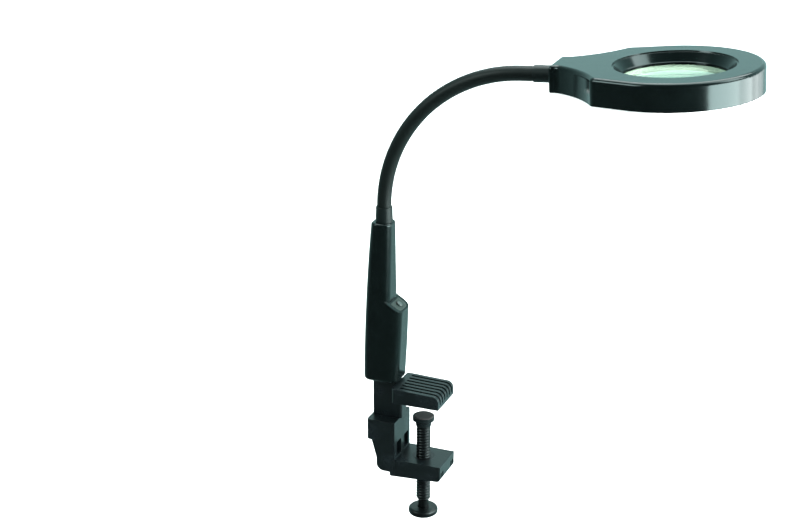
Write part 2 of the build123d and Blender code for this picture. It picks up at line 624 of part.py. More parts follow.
# ================================================================ gooseneck
BEND_X = BODY_X + BEND_R
BEND_AXIS = Axis((BEND_X, 0, NECK_START), (0, 1, 0))
GAP_ANGLE = degrees(JOINT_GAP / BEND_R)
FERRULE_START = -123.0     # lens-side ferrule, in the head's own x
FERRULE_INSIDE = -91.0
CORE_LOW = 172.0
SKIRT_R = 8.1              # base ferrule's foot on top of the handle


def on_bend(angle):
    """Plane square to the neck, at an angle along its bend."""
    turn = radians(angle)
    return Plane(origin=(BEND_X - BEND_R * cos(turn), 0, NECK_START + BEND_R * sin(turn)),
                 x_dir=(cos(turn), 0, -sin(turn)), z_dir=(sin(turn), 0, cos(turn)))


BEND_END = on_bend(BEND_ANGLE)


def neck_piece(first, last, outer, inner, before, after):
    """One length of neck between two angles, with straight runs before and after it."""
    with BuildPart() as result:
        with BuildSketch(on_bend(first)):
            Circle(outer)
            if inner:
                Circle(inner, mode=Mode.SUBTRACT)
        revolve(axis=BEND_AXIS, revolution_arc=last - first)
        if before:
            with BuildSketch(on_bend(first)):
                Circle(outer)
                if inner:
                    Circle(inner, mode=Mode.SUBTRACT)
            extrude(amount=-before)
        if after:
            with BuildSketch(on_bend(last)):
                Circle(outer)
                if inner:
                    Circle(inner, mode=Mode.SUBTRACT)
            extrude(amount=after)
    return result.part


for k in range(JOINTS + 1):
    low_joint = (k - 0.5) * JOINT_STEP
    high_joint = (k + 0.5) * JOINT_STEP
    first = low_joint + GAP_ANGLE if k > 0 else 0.0
    last = high_joint - GAP_ANGLE if k < JOINTS else BEND_ANGLE
    core_before = NECK_START - CORE_LOW if k == 0 else 0
    core_after = NECK_TO_RING + FERRULE_INSIDE if k == JOINTS else 0
    sleeve_after = NECK_TO_RING + FERRULE_START if k == JOINTS else 0
    with BuildPart() as core:
        add(neck_piece(first, last, CORE_R, 0, core_before, core_after))
        if k > 0:
            with Locations(on_bend(low_joint).origin):
                Sphere(BALL_R)
        if k < JOINTS:
            with Locations(on_bend(high_joint).origin):
                Sphere(BALL_R + CLEAR, mode=Mode.SUBTRACT)
    finish(core.part, f"neck_core_{k}")
    finish(neck_piece(first, last, NECK_R, CORE_R, 0, sleeve_after), f"neck_sleeve_{k}")

with BuildPart() as base_ferrule:
    add(rods(Plane.XY.offset(HANDLE_TOP), [(BODY_X, 0)], FERRULE_R, HANDLE_TOP - FERRULE_LOW))
    # slightly tapered skirt above the handle
    with BuildSketch(Plane.XY.offset(HANDLE_TOP)):
        with Locations((BODY_X, 0)):
            Circle(SKIRT_R)
    extrude(amount=NECK_START - HANDLE_TOP, taper=1.5)
    fillet(base_ferrule.edges().group_by(Axis.Z)[-1], 0.6)
    add(rods(Plane.XY.offset(NECK_START), [(BODY_X, 0)], CORE_R, NECK_START - CORE_LOW), mode=Mode.SUBTRACT)
finish(base_ferrule.part, "base_ferrule")

# ================================================================ lens head
HEAD_X = BEND_END.z_dir
HEAD_Z = Vector(-sin(HEAD_TILT), 0, cos(HEAD_TILT))
HEAD = Plane(origin=BEND_END.origin + HEAD_X * NECK_TO_RING + HEAD_Z * AXIS_DROP, x_dir=HEAD_X, z_dir=HEAD_Z)
HEAD_SECTION = Plane(origin=HEAD.origin, x_dir=HEAD_X, z_dir=(0, -1, 0))
HEAD_AXIS = Axis(HEAD.origin, HEAD_Z)
FERRULE_PLANE = Plane(origin=HEAD.origin + HEAD_X * FERRULE_START - HEAD_Z * AXIS_DROP,
                      x_dir=(0, 1, 0), z_dir=-HEAD_X)
SKIN = 2.5
RIM_FILLET = 3.7
POST_TOP = -SKIN


def head_outline(inset):
    """Plan of the head: ring, flared shoulders and the neck block, drawn in by inset."""
    reach = sqrt(SHOULDER[0] ** 2 + SHOULDER[1] ** 2)
    touch = atan2(SHOULDER[1], SHOULDER[0]) - acos(RING_R / reach)
    touch_point = (RING_R * cos(touch), RING_R * sin(touch))
    with BuildSketch() as result:
        with BuildLine() as edge:
            Line((HEAD_END, 0), (HEAD_END, BLOCK_HALF))
            Line((HEAD_END, BLOCK_HALF), (HEAD_END + BLOCK_L, BLOCK_HALF))
            ThreePointArc((HEAD_END + BLOCK_L, BLOCK_HALF), FLARE_MID, SHOULDER)
            Line(SHOULDER, touch_point)
            ThreePointArc(touch_point, (RING_R * cos(touch / 2), RING_R * sin(touch / 2)), (RING_R, 0))
            mirror(edge.line, about=Plane.XZ)
        make_face()
        corners = result.vertices().filter_by(lambda v: abs(abs(v.Y) - SHOULDER[1]) < 0.1)
        fillet(corners, 7.0)
        corners = result.vertices().filter_by(
            lambda v: abs(abs(v.Y) - BLOCK_HALF) < 0.1 and abs(v.X - HEAD_END - BLOCK_L) < 0.1)
        fillet(corners, 11.0)
        corners = result.vertices().filter_by(lambda v: abs(v.X - HEAD_END) < 0.1 and abs(v.Y) > 1)
        fillet(corners, 2.5)
        if inset:
            offset(amount=-inset, kind=Kind.INTERSECTION)
    return result.sketch


POST_ANGLES = (35, 145, 215, 325)
POST_R = 3.0
COVER_POST_R = 69.6
RETAINER_POST_R = 61.0
COVER_POSTS = [(COVER_POST_R * cos(radians(a)), COVER_POST_R * sin(radians(a))) for a in (20, 100, 260, 340)]
NECK_POSTS = [(-84.0, 15.0), (-84.0, -15.0)]
RETAINER_TOP = -14.2
RETAINER_R = 66.0
with BuildPart() as head_housing:
    with BuildSketch(HEAD.offset(-HEAD_H)):
        add(head_outline(0))
    extrude(amount=HEAD_H)
    top_rim = head_housing.faces().filter_by(HEAD_AXIS).sort_by(HEAD_AXIS)[-1].outer_wire().edges()
    fillet(top_rim, RIM_FILLET)
    with BuildSketch(HEAD.offset(-HEAD_H)):
        add(head_outline(SKIN))
    extrude(amount=HEAD_H - SKIN, mode=Mode.SUBTRACT)
    add(rods(HEAD.offset(1), [(0, 0)], OPENING_R, 10.0), mode=Mode.SUBTRACT)
    # hole for the ferrule in the neck block
    add(rods(FERRULE_PLANE, [(0, 0)], FERRULE_R, 30.0), mode=Mode.SUBTRACT)
    # posts for the cover's screws, and shorter ones that hold the lens retainer
    with BuildSketch(HEAD.offset(POST_TOP)):
        with Locations(*(COVER_POSTS + NECK_POSTS)):
            Circle(POST_R)
    extrude(amount=POST_TOP + HEAD_H, dir=-HEAD_Z)
    with BuildSketch(HEAD.offset(POST_TOP)):
        with Locations(*[(RETAINER_POST_R * cos(radians(a)), RETAINER_POST_R * sin(radians(a)))
                         for a in POST_ANGLES]):
            Circle(POST_R)
    extrude(amount=POST_TOP - RETAINER_TOP, dir=-HEAD_Z)
    add(rods(HEAD.offset(-HEAD_H), COVER_POSTS + NECK_POSTS, 1.2, -9.0), mode=Mode.SUBTRACT)
finish(head_housing.part, "head_housing")

BEZEL_FOOT = -8.7
BEZEL_BOTTOM = -10.7
with BuildPart() as lens_bezel:
    with BuildSketch(HEAD_SECTION):
        with BuildLine():
            Polyline((OPENING_R, 0), (OPENING_R - 0.7, 0), (OPENING_R - 1.2, -1.3), (OPENING_R - 2.1, -1.3),
                     (LENS_CLEAR_R + 0.5, BEZEL_FOOT), (LENS_CLEAR_R, BEZEL_FOOT - 0.4),
                     (LENS_CLEAR_R, BEZEL_BOTTOM), (OPENING_R + 2.5, BEZEL_BOTTOM),
                     (OPENING_R + 2.5, -SKIN), (OPENING_R, -SKIN), (OPENING_R, 0))
        make_face()
    revolve(axis=HEAD_AXIS)
finish(lens_bezel.part, "lens_bezel")

LENS_EDGE_TOP = -11.2
LENS_EDGE_T = 2.5
LENS_SAG = LENS_SURFACE_R - sqrt(LENS_SURFACE_R ** 2 - LENS_R ** 2)
with BuildPart() as lens:
    with BuildSketch(HEAD_SECTION):
        with BuildLine():
            RadiusArc((0, LENS_EDGE_TOP + LENS_SAG), (LENS_R, LENS_EDGE_TOP), LENS_SURFACE_R)
            Line((LENS_R, LENS_EDGE_TOP), (LENS_R, LENS_EDGE_TOP - LENS_EDGE_T))
            RadiusArc((LENS_R, LENS_EDGE_TOP - LENS_EDGE_T),
                      (0, LENS_EDGE_TOP - LENS_EDGE_T - LENS_SAG), LENS_SURFACE_R)
            Line((0, LENS_EDGE_TOP - LENS_EDGE_T - LENS_SAG), (0, LENS_EDGE_TOP + LENS_SAG))
        make_face()
    revolve(axis=HEAD_AXIS)
finish(lens.part, "lens")

RETAINER_T = 2.4
BOARD_T = 1.6
BOARD_TOP = RETAINER_TOP - RETAINER_T
BOARD_IN = 51.0
BOARD_OUT = 65.0
LED_COUNT = 36
LED_RING_R = 58.0
LED_T = 0.8
DIFFUSER_OUT = 66.0
DIFFUSER_T = 2.0
COVER_TOP = -HEAD_H
COVER_BOTTOM = -HEAD_H - COVER_H

with BuildPart() as lens_retainer:
    with BuildSketch(HEAD.offset(BOARD_TOP)):
        Circle(RETAINER_R)
        Circle(LENS_CLEAR_R + 0.3, mode=Mode.SUBTRACT)
    extrude(amount=RETAINER_T)
    # raised lip round the lens's edge
    with BuildSketch(HEAD.offset(RETAINER_TOP)):
        Circle(LENS_R + 2.0)
        Circle(LENS_R + 0.2, mode=Mode.SUBTRACT)
    extrude(amount=BEZEL_BOTTOM - RETAINER_TOP)
finish(lens_retainer.part, "lens_retainer")

with BuildPart() as led_board:
    with BuildSketch(HEAD.offset(BOARD_TOP)):
        Circle(BOARD_OUT)
        Circle(BOARD_IN, mode=Mode.SUBTRACT)
    extrude(amount=-BOARD_T)
finish(led_board.part, "led_board")

with BuildPart() as leds:
    with BuildSketch(HEAD.offset(BOARD_TOP - BOARD_T)):
        with PolarLocations(LED_RING_R, LED_COUNT):
            Rectangle(2.8, 3.5)
    extrude(amount=-LED_T)
finish(leds.part, "leds")

with BuildPart() as diffuser:
    with BuildSketch(HEAD_SECTION):
        with BuildLine():
            Polyline((LENS_CLEAR_R + 0.4, BOARD_TOP), (LENS_CLEAR_R + 2.2, BOARD_TOP),
                     (LENS_CLEAR_R + 2.2, COVER_BOTTOM + DIFFUSER_T), (DIFFUSER_OUT, COVER_BOTTOM + DIFFUSER_T),
                     (DIFFUSER_OUT, COVER_BOTTOM), (LENS_CLEAR_R + 0.4, COVER_BOTTOM),
                     (LENS_CLEAR_R + 0.4, BOARD_TOP))
        make_face()
    revolve(axis=HEAD_AXIS)
    fillet(diffuser.edges().filter_by(GeomType.CIRCLE).group_by(
        lambda e: round(HEAD.to_local_coords(e.center()).Z, 2))[0], 0.6)
finish(diffuser.part, "diffuser")

HEAD_SCREWS = Plane(origin=HEAD.origin + HEAD_Z * (COVER_BOTTOM + 1.2), x_dir=HEAD_X, z_dir=-HEAD_Z)
HEAD_SCREW_POINTS = [(x, -y) for x, y in COVER_POSTS + NECK_POSTS]
with BuildPart() as base_cover:
    with BuildSketch(HEAD.offset(COVER_BOTTOM)):
        add(head_outline(0.9))
    extrude(amount=COVER_H)
    fillet(base_cover.faces().filter_by(HEAD_AXIS).sort_by(HEAD_AXIS)[0].outer_wire().edges(), 1.2)
    add(rods(HEAD.offset(COVER_TOP + 1), [(0, 0)], DIFFUSER_OUT, COVER_H + 2), mode=Mode.SUBTRACT)
    add(rods(HEAD_SCREWS.offset(2), HEAD_SCREW_POINTS, 2.5, 2), mode=Mode.SUBTRACT)
    add(rods(HEAD_SCREWS, HEAD_SCREW_POINTS, 1.2, 3), mode=Mode.SUBTRACT)
finish(base_cover.part, "base_cover")
finish(screws(HEAD_SCREWS, HEAD_SCREW_POINTS, 2.2, 0.9, 1.2, 9.0), "head_screws")

with BuildPart() as head_ferrule:
    add(rods(FERRULE_PLANE, [(0, 0)], FERRULE_R, FERRULE_INSIDE - FERRULE_START))
    add(rods(FERRULE_PLANE, [(0, 0)], CORE_R, FERRULE_INSIDE - FERRULE_START),
        mode=Mode.SUBTRACT)
finish(head_ferrule.part, "head_ferrule")

SADDLE = Plane(origin=HEAD.origin + HEAD_X * (HEAD_END + SKIN + 1.0), x_dir=(0, 1, 0), z_dir=HEAD_X)
with BuildPart() as neck_saddle:
    with BuildSketch(SADDLE):
        with Locations((0, -AXIS_DROP)):
            Rectangle(23.0, 18.0)
            Circle(FERRULE_R, mode=Mode.SUBTRACT)
    extrude(amount=9.0)
finish(neck_saddle.part, "neck_saddle")
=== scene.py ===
"""Looks of the clamp-on magnifying lamp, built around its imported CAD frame. Metres, +Z up."""
import json
import math

import bpy
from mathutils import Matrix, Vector


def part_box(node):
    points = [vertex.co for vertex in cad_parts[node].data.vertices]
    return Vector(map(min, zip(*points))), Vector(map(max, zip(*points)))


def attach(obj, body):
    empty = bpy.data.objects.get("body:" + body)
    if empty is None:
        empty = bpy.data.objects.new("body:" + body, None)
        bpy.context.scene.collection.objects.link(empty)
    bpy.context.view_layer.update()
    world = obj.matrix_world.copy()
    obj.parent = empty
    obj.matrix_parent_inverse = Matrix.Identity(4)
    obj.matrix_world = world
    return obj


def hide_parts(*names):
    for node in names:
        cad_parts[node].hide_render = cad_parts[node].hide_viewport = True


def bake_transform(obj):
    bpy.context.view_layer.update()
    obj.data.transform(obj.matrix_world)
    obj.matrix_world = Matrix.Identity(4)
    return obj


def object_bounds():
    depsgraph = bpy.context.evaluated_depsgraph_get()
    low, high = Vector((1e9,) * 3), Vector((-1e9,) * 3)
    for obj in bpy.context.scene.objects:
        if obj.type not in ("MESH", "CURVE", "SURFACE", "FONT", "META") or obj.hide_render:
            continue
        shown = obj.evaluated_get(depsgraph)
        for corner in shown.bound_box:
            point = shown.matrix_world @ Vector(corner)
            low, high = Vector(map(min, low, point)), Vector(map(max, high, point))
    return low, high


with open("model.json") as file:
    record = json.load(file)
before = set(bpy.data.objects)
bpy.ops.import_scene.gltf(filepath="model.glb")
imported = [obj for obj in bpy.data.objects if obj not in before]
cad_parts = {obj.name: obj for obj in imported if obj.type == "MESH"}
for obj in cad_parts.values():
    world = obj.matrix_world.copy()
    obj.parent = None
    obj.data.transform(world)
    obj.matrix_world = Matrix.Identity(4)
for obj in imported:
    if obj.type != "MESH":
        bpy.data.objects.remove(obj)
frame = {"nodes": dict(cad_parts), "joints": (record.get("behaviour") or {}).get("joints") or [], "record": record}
cad_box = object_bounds()

# ---------------------------------------------------------------- places, worked out from the frame
MM = 0.001
JOINTS = [j for j in frame["joints"] if j["name"].startswith("neck_")]
PIVOTS = [Vector(j["pos_m"]) for j in JOINTS]
JOINT_COUNT = len(JOINTS)
SWIVEL = Vector(next(j for j in frame["joints"] if j["name"] == "swivel")["pos_m"])
SLEEVE_LOW, SLEEVE_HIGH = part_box("neck_sleeve_0")
NECK_R = (SLEEVE_HIGH.y - SLEEVE_LOW.y) / 2
NECK_START = SLEEVE_LOW.z                        # height where the bend starts
BEND_RISE = PIVOTS[0].z - NECK_START
BEND_RUN = PIVOTS[0].x - SWIVEL.x
BEND_R = (BEND_RISE ** 2 + BEND_RUN ** 2) / (2 * BEND_RUN)
BEND_CENTRE = Vector((SWIVEL.x + BEND_R, 0, NECK_START))
HALF_STEP = math.asin(BEND_RISE / BEND_R)
STEP = 2 * HALF_STEP
BEND_ANGLE = STEP * JOINT_COUNT
HEAD_TILT = math.pi / 2 - BEND_ANGLE
HEAD_X = Vector((math.cos(HEAD_TILT), 0, math.sin(HEAD_TILT)))


def on_bend(angle):
    """Point on the neck's centre line."""
    return BEND_CENTRE + BEND_R * Vector((-math.cos(angle), 0, math.sin(angle)))


# ---------------------------------------------------------------- camera
def make_camera():
    """A long lens above and to the right of the lamp, looking down at it."""
    place = Vector((0.5142, -1.3406, 0.6757))
    yaw, pitch = math.radians(21.89), math.radians(20.58)
    data = bpy.data.cameras.new("camera")
    data.lens = 74.42
    data.sensor_width = 36.0
    data.clip_end = 60.0
    camera = bpy.data.objects.new("camera", data)
    camera.location = place
    camera.rotation_euler = (math.pi / 2 - pitch, 0, yaw)
    bpy.context.scene.collection.objects.link(camera)
    bpy.context.scene.camera = camera


make_camera()


# ---------------------------------------------------------------- shader maths
class Value:
    """A shader output that can be used in sums: each operator adds one Math node."""

    def __init__(self, finish, socket):
        self.finish = finish
        self.socket = socket

    def _sum(self, operation, first, second):
        return self.finish.node("ShaderNodeMath", {"operation": operation}, {0: first, 1: second})

    def __add__(self, other):
        return self._sum("ADD", self, other)

    def __radd__(self, other):
        return self._sum("ADD", other, self)

    def __sub__(self, other):
        return self._sum("SUBTRACT", self, other)

    def __mul__(self, other):
        return self._sum("MULTIPLY", self, other)

    def at_least(self, other):
        return self._sum("MAXIMUM", self, other)


class Finish:
    """One material, its node tree and the few patterns that the lamp's finishes share."""

    def __init__(self, name):
        self.material = bpy.data.materials.new(name)
        self.material.use_nodes = True
        self.tree = self.material.node_tree
        self.tree.nodes.clear()
        self.place = self.node("ShaderNodeTexCoord", out="Object")

    def node(self, kind, settings=None, sockets=None, out=0):
        """Add a node: its settings first, then the values or links of its sockets."""
        new = self.tree.nodes.new(kind)
        for key, value in (settings or {}).items():
            if key == "stops":
                while len(new.color_ramp.elements) < len(value):
                    new.color_ramp.elements.new(0.5)
                for element, (position, level) in zip(new.color_ramp.elements, value):
                    element.position = position
                    element.color = (level, level, level, 1)
            else:
                setattr(new, key, value)
        for key, value in (sockets or {}).items():
            if isinstance(value, Value):
                self.tree.links.new(value.socket, new.inputs[key])
            else:
                new.inputs[key].default_value = value
        return Value(self, new.outputs[out])

    def noise(self, scale, detail=2.0, stretch=None, out=0):
        """Cloudy pattern; scale is in features per metre, stretch is the scale along each axis."""
        place = self.place
        if stretch:
            place = self.node("ShaderNodeMapping", None, {"Vector": place, "Scale": stretch})
        return self.node("ShaderNodeTexNoise", None,
                         {"Vector": place, "Scale": scale, "Detail": detail}, out)

    def ramp(self, value, stops):
        """Pass a value through a curve of (position, level) stops."""
        return self.node("ShaderNodeValToRGB", {"stops": stops}, {"Fac": value})

    def mix(self, amount, first, second):
        """Blend two colours."""
        return self.node("ShaderNodeMix", {"data_type": "RGBA"},
                         {"Factor": amount, 6: first, 7: second}, 2)

    def scratches(self, amount):
        """Fine hairlines in two directions, 0 to amount."""
        along = self.ramp(self.noise(1.0, 3.0, (2600.0, 2600.0, 70.0)), ((0.66, 0.0), (0.70, 1.0)))
        across = self.ramp(self.noise(1.0, 3.0, (90.0, 2400.0, 2400.0)), ((0.67, 0.0), (0.71, 1.0)))
        return along.at_least(across) * amount

    def edge_round(self, radius):
        """Softly rounded edges for the bump to start from."""
        return self.node("ShaderNodeBevel", {"samples": 4}, {"Radius": radius})

    def bump(self, height, strength, distance, normal=None):
        """Raise the surface by height times distance, over the edges' own rounding if given."""
        sockets = {"Height": height, "Strength": strength, "Distance": distance}
        if normal:
            sockets["Normal"] = normal
        return self.node("ShaderNodeBump", None, sockets)

    def surface(self, **sockets):
        """Principled shader and output; returns the material."""
        named = {key.replace("_", " "): value for key, value in sockets.items()}
        shader = self.node("ShaderNodeBsdfPrincipled", None, named)
        output = self.tree.nodes.new("ShaderNodeOutputMaterial")
        self.tree.links.new(shader.socket, output.inputs["Surface"])
        return self.material


# ---------------------------------------------------------------- finishes
def gloss_black():
    """Polished black ABS with a green cast: faint moulding ripple, hairlines and a little grime."""
    f = Finish("gloss_black")
    ripple = f.noise(70.0, 2.0)
    grime = f.ramp(f.noise(900.0, 4.0), ((0.60, 0.0), (0.78, 1.0)))
    lines = f.scratches(0.10)
    colour = f.mix(ripple * 0.6 + grime * 0.12, (0.001, 0.002, 0.002, 1), (0.003, 0.006, 0.006, 1))
    rough = 0.14 + ripple * 0.05 + grime * 0.08 + lines
    relief = f.bump(ripple + f.noise(420.0, 2.0) * 0.12, 0.25, 0.25 * MM, f.edge_round(0.35 * MM))
    return f.surface(Base_Color=colour, Roughness=rough, Normal=relief, IOR=1.36,
                     Specular_Tint=(0.72, 1.0, 0.98, 1))


def moulded_black(name, dark, light, rough_level):
    """Satin nylon straight from the mould: fine even grain and paler rubbed patches."""
    f = Finish(name)
    grain = f.noise(2600.0, 3.0)
    patches = f.noise(55.0, 3.0)
    lines = f.scratches(0.12)
    rubbed = f.ramp(patches, ((0.50, 0.0), (0.75, 1.0)))
    colour = f.mix(rubbed * 0.7 + grain * 0.25, dark, light)
    rough = rough_level + grain * 0.16 - rubbed * 0.08 + lines
    relief = f.bump(grain, 0.35, 0.06 * MM, f.edge_round(0.45 * MM))
    return f.surface(Base_Color=colour, Roughness=rough, Normal=relief, IOR=1.33,
                     Specular_Tint=(0.78, 1.0, 0.98, 1))


def clamp_black():
    return moulded_black("clamp_black", (0.0025, 0.0045, 0.005, 1), (0.007, 0.011, 0.013, 1), 0.24)


def screw_black():
    return moulded_black("screw_black", (0.0006, 0.001, 0.0012, 1), (0.002, 0.003, 0.0034, 1), 0.28)


def sleeve_black():
    """Matte PVC sleeve: leathery micro-grain, faint lengthwise draw lines and dust."""
    f = Finish("sleeve_black")
    grain = f.node("ShaderNodeTexVoronoi", None, {"Vector": f.place, "Scale": 1900.0}, "Distance")
    cloud = f.noise(40.0, 3.0)
    dust = f.ramp(f.noise(1400.0, 4.0), ((0.62, 0.0), (0.80, 1.0)))
    colour = f.mix(cloud * 0.7 + dust * 0.25, (0.0014, 0.003, 0.0027, 1), (0.0045, 0.0075, 0.007, 1))
    rough = 0.40 + cloud * 0.12 + dust * 0.15
    relief = f.bump(grain, 0.30, 0.08 * MM)
    return f.surface(Base_Color=colour, Roughness=rough, Normal=relief, IOR=1.30,
                     Specular_Tint=(0.80, 1.0, 0.97, 1))


def ferrule_black():
    """Semi-matte black paint on metal, worn a little brighter in random patches."""
    f = Finish("ferrule_black")
    grain = f.noise(1800.0, 3.0)
    wear = f.ramp(f.noise(260.0, 4.0), ((0.62, 0.0), (0.74, 1.0)))
    colour = f.mix(wear * 0.25, (0.003, 0.006, 0.006, 1), (0.03, 0.04, 0.04, 1))
    relief = f.bump(grain, 0.25, 0.05 * MM, f.edge_round(0.3 * MM))
    return f.surface(Base_Color=colour, Roughness=0.34 + grain * 0.15, Metallic=wear * 0.1, Normal=relief,
                     IOR=1.30, Specular_Tint=(0.80, 1.0, 0.97, 1))


def pad_rubber():
    """Matte rubber with a pitted skin."""
    f = Finish("pad_rubber")
    pits = f.noise(1500.0, 5.0)
    colour = f.mix(pits, (0.008, 0.009, 0.009, 1), (0.035, 0.036, 0.036, 1))
    return f.surface(Base_Color=colour, Roughness=0.70 + pits * 0.2, Normal=f.bump(pits, 0.6, 0.15 * MM))


def panel_green():
    """Finely textured dark green insert round the switch."""
    f = Finish("panel_green")
    grain = f.node("ShaderNodeTexVoronoi", None, {"Vector": f.place, "Scale": 1500.0}, "Distance")
    cloud = f.noise(220.0, 3.0)
    colour = f.mix(cloud * 0.6 + grain * 0.4, (0.007, 0.016, 0.014, 1), (0.018, 0.034, 0.030, 1))
    return f.surface(Base_Color=colour, Roughness=0.52 + cloud * 0.12, IOR=1.30,
                     Normal=f.bump(grain, 0.5, 0.10 * MM, f.edge_round(0.2 * MM)))


def button_green():
    """Satin push button with a fine grain in its colour and roughness."""
    f = Finish("button_green")
    grain = f.noise(1700.0, 3.0)
    colour = f.mix(grain, (0.010, 0.022, 0.020, 1), (0.026, 0.050, 0.045, 1))
    return f.surface(Base_Color=colour, Roughness=0.30 + grain * 0.18,
                     Normal=f.bump(grain, 0.3, 0.05 * MM, f.edge_round(0.25 * MM)))


def lens_clear():
    """Optical acrylic, faintly green, with a trace of dust and wipe marks on its faces."""
    f = Finish("lens_clear")
    wipe = f.ramp(f.noise(1.0, 3.0, (60.0, 900.0, 60.0)), ((0.55, 0.0), (0.75, 1.0)))
    dust = f.ramp(f.noise(1600.0, 3.0), ((0.70, 0.0), (0.76, 1.0)))
    return f.surface(Base_Color=(0.33, 0.45, 0.34, 1), Roughness=wipe * 0.015 + dust * 0.05,
                     Transmission_Weight=1.0, IOR=1.49)


def cover_white():
    """White satin ABS with soft moulding clouds."""
    f = Finish("cover_white")
    cloud = f.noise(60.0, 3.0)
    grain = f.noise(1500.0, 3.0)
    colour = f.mix(cloud, (0.78, 0.81, 0.80, 1), (0.88, 0.90, 0.89, 1))
    return f.surface(Base_Color=colour, Roughness=0.30 + grain * 0.15,
                     Normal=f.bump(grain, 0.2, 0.05 * MM, f.edge_round(0.3 * MM)))


def diffuser_white():
    """Milky acrylic that lets light through softly."""
    f = Finish("diffuser_white")
    cloud = f.noise(90.0, 3.0)
    grain = f.noise(2400.0, 3.0)
    colour = f.mix(cloud, (0.84, 0.88, 0.86, 1), (0.93, 0.95, 0.94, 1))
    return f.surface(Base_Color=colour, Roughness=0.38 + grain * 0.15, Subsurface_Weight=0.25,
                     Subsurface_Radius=(0.004, 0.004, 0.004), Normal=f.bump(grain, 0.3, 0.05 * MM))


def metal(name, dark, light, rough_level, stretch):
    """Turned or plated metal with fine tool lines along one axis."""
    f = Finish(name)
    lines = f.noise(1.0, 3.0, stretch)
    stain = f.noise(240.0, 4.0)
    colour = f.mix(stain, dark, light)
    return f.surface(Base_Color=colour, Metallic=1.0, Roughness=rough_level + lines * 0.20 + stain * 0.10,
                     Normal=f.bump(lines, 0.25, 0.04 * MM, f.edge_round(0.2 * MM)))


def screw_steel():
    dark, light = (0.42, 0.42, 0.41, 1), (0.62, 0.62, 0.60, 1)
    return metal("screw_steel", dark, light, 0.20, (2500.0, 2500.0, 200.0))


def neck_steel():
    return metal("neck_steel", (0.34, 0.34, 0.34, 1), (0.5, 0.5, 0.5, 1), 0.28, (300.0, 2500.0, 300.0))


def bush_black():
    dark, light = (0.010, 0.013, 0.014, 1), (0.030, 0.036, 0.038, 1)
    return metal("bush_black", dark, light, 0.30, (200.0, 200.0, 3000.0))


def inner_plastic(name, dark, light):
    """Plain hidden parts: moulded plastic, board lacquer or printed film."""
    f = Finish(name)
    grain = f.noise(1300.0, 4.0)
    cloud = f.noise(150.0, 3.0)
    colour = f.mix(cloud * 0.7 + grain * 0.3, dark, light)
    return f.surface(Base_Color=colour, Roughness=0.38 + grain * 0.25,
                     Normal=f.bump(grain, 0.3, 0.05 * MM))


FINISHES = {
    "gloss_black": gloss_black(),
    "clamp_black": clamp_black(),
    "screw_black": screw_black(),
    "sleeve_black": sleeve_black(),
    "ferrule_black": ferrule_black(),
    "neck_steel": neck_steel(),
    "screw_steel": screw_steel(),
    "bush_black": bush_black(),
    "pad_rubber": pad_rubber(),
    "panel_green": panel_green(),
    "button_green": button_green(),
    "lens_clear": lens_clear(),
    "cover_white": cover_white(),
    "diffuser_white": diffuser_white(),
    "board_white": inner_plastic("board_white", (0.62, 0.65, 0.63, 1), (0.82, 0.84, 0.82, 1)),
    "board_green": inner_plastic("board_green", (0.02, 0.10, 0.05, 1), (0.05, 0.20, 0.10, 1)),
    "led_amber": inner_plastic("led_amber", (0.72, 0.58, 0.18, 1), (0.90, 0.78, 0.34, 1)),
    "cell_jacket": inner_plastic("cell_jacket", (0.12, 0.13, 0.16, 1), (0.25, 0.26, 0.30, 1)),
    "holder_grey": inner_plastic("holder_grey", (0.04, 0.04, 0.04, 1), (0.10, 0.10, 0.10, 1)),
}
for row in frame["record"]["subparts"]:
    cad_node = frame["nodes"][row["node"]]
    cad_node.data.materials.clear()
    cad_node.data.materials.append(FINISHES[row["material_slot"]])


# ---------------------------------------------------------------- mesh helpers
def begin():
    """Nothing selected, object mode."""
    if bpy.context.object and bpy.context.object.mode != "OBJECT":
        bpy.ops.object.mode_set(mode="OBJECT")
    bpy.ops.object.select_all(action="DESELECT")


def settle(name, slot, smooth=35.0):
    """Close the edit, name the piece, put its place in its mesh and give it its finish."""
    bpy.ops.object.mode_set(mode="OBJECT")
    piece = bpy.context.object
    piece.name = name
    piece.data.name = name
    bpy.ops.object.transform_apply(location=True, rotation=True, scale=True)
    bpy.ops.object.shade_smooth_by_angle(angle=math.radians(smooth))
    piece.data.materials.clear()
    piece.data.materials.append(FINISHES[slot])
    return piece


def pick(test):
    """Select only the faces whose middle and normal pass a test; stays in edit mode."""
    bpy.ops.mesh.select_mode(type="FACE")
    bpy.ops.mesh.select_all(action="DESELECT")
    bpy.ops.object.mode_set(mode="OBJECT")
    for face in bpy.context.object.data.polygons:
        face.select = test(face.center, face.normal)
    bpy.ops.object.mode_set(mode="EDIT")


def close_mesh():
    """Merge doubled points and turn every face outwards."""
    bpy.ops.mesh.select_all(action="SELECT")
    bpy.ops.mesh.remove_doubles(threshold=0.01 * MM)
    bpy.ops.mesh.normals_make_consistent(inside=False)


# ---------------------------------------------------------------- gooseneck sleeve
SIDES = 40
RINGS_PER_JOINT = 14
BEND_END = on_bend(BEND_ANGLE)
SLEEVE_END_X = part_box("neck_sleeve_8")[1].x
STRAIGHT_RUN = (SLEEVE_END_X - BEND_END.x - NECK_R * math.sin(HEAD_TILT)) / math.cos(HEAD_TILT)


